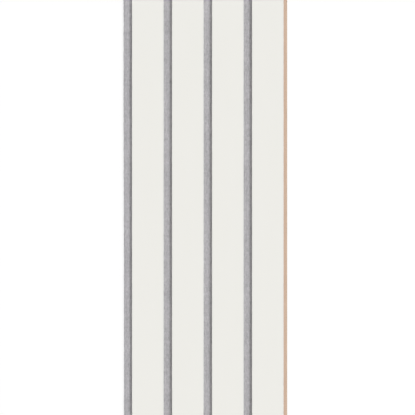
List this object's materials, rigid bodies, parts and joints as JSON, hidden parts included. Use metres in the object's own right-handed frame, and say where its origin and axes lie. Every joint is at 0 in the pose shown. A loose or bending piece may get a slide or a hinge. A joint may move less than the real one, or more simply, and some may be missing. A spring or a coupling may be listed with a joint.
{
  "type": "acoustic slat panel",
  "caption": "Long wall panel of white slats on grey felt, on a thin MDF board whose bare lip laps under the felt of the next panel.",
  "frame": {"origin": "centre of the overall footprint, on the back face of the backing board", "axes": "+X across the slats towards the bare lip, +Y along the slats, +Z from the back towards the slat faces"},
  "size_m": [0.1554, 2.4, 0.021],
  "materials": {
    "white_foil": "matt warm-white foil wrapped on MDF, raw MDF at the sawn ends",
    "grey_felt": "mottled mid-grey needled polyester felt",
    "raw_mdf": "bare sanded MDF, pale tan, with milled edges"
  },
  "bodies": {
    "root": {"backing_board": "raw_mdf", "felt_sheet": "grey_felt", "slat_1": "white_foil", "slat_2": "white_foil", "slat_3": "white_foil", "slat_4": "white_foil"}
  },
  "joints": []
}
